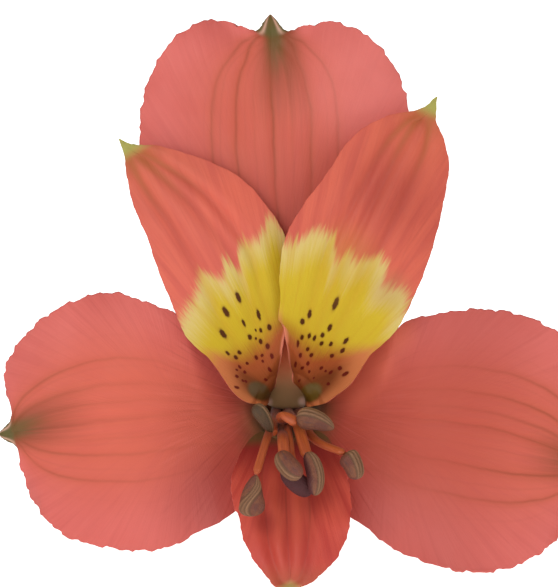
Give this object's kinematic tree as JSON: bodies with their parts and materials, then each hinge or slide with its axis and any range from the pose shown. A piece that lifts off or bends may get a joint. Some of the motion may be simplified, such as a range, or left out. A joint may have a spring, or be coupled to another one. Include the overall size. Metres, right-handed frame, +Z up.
{
  "type": "alstroemeria stem",
  "caption": "Single coral-pink alstroemeria bloom with speckled yellow upper petals, laid down on its short leafy cut stem.",
  "frame": {"origin": "centre of the bounding box's bottom face, on the surface that the flower lies on", "axes": "+X to the right across the bloom as its viewer sees it, +Y along the stem towards its cut end, +Z up; the bloom looks towards -Y and a little up"},
  "size_m": [0.0812, 0.1536, 0.0695],
  "materials": {
    "sepal": "satin coral-pink flower tissue with fine veins",
    "petal": "satin coral-orange flower tissue, yellow with dark streaks near the throat",
    "lip": "satin deep coral flower tissue",
    "filament": "smooth orange-coral stalk",
    "anther": "matt grey-brown pollen sacs",
    "style": "smooth pale coral stalk",
    "ovary": "satin ribbed green",
    "stem": "satin green",
    "leaf": "satin green with lengthwise ribs"
  },
  "bodies": {
    "root": {"sepal_top": "sepal", "sepal_left": "sepal", "sepal_right": "sepal", "petal_left": "petal", "petal_right": "petal", "petal_lower": "lip", "filament_1": "filament", "filament_2": "filament", "filament_3": "filament", "filament_4": "filament", "filament_5": "filament", "filament_6": "filament", "anther_1": "anther", "anther_2": "anther", "anther_3": "anther", "anther_4": "anther", "anther_5": "anther", "anther_6": "anther", "style": "style", "ovary": "ovary", "stem": "stem", "leaf_1": "leaf", "leaf_2": "leaf", "leaf_3": "leaf", "leaf_4": "leaf"}
  },
  "joints": []
}
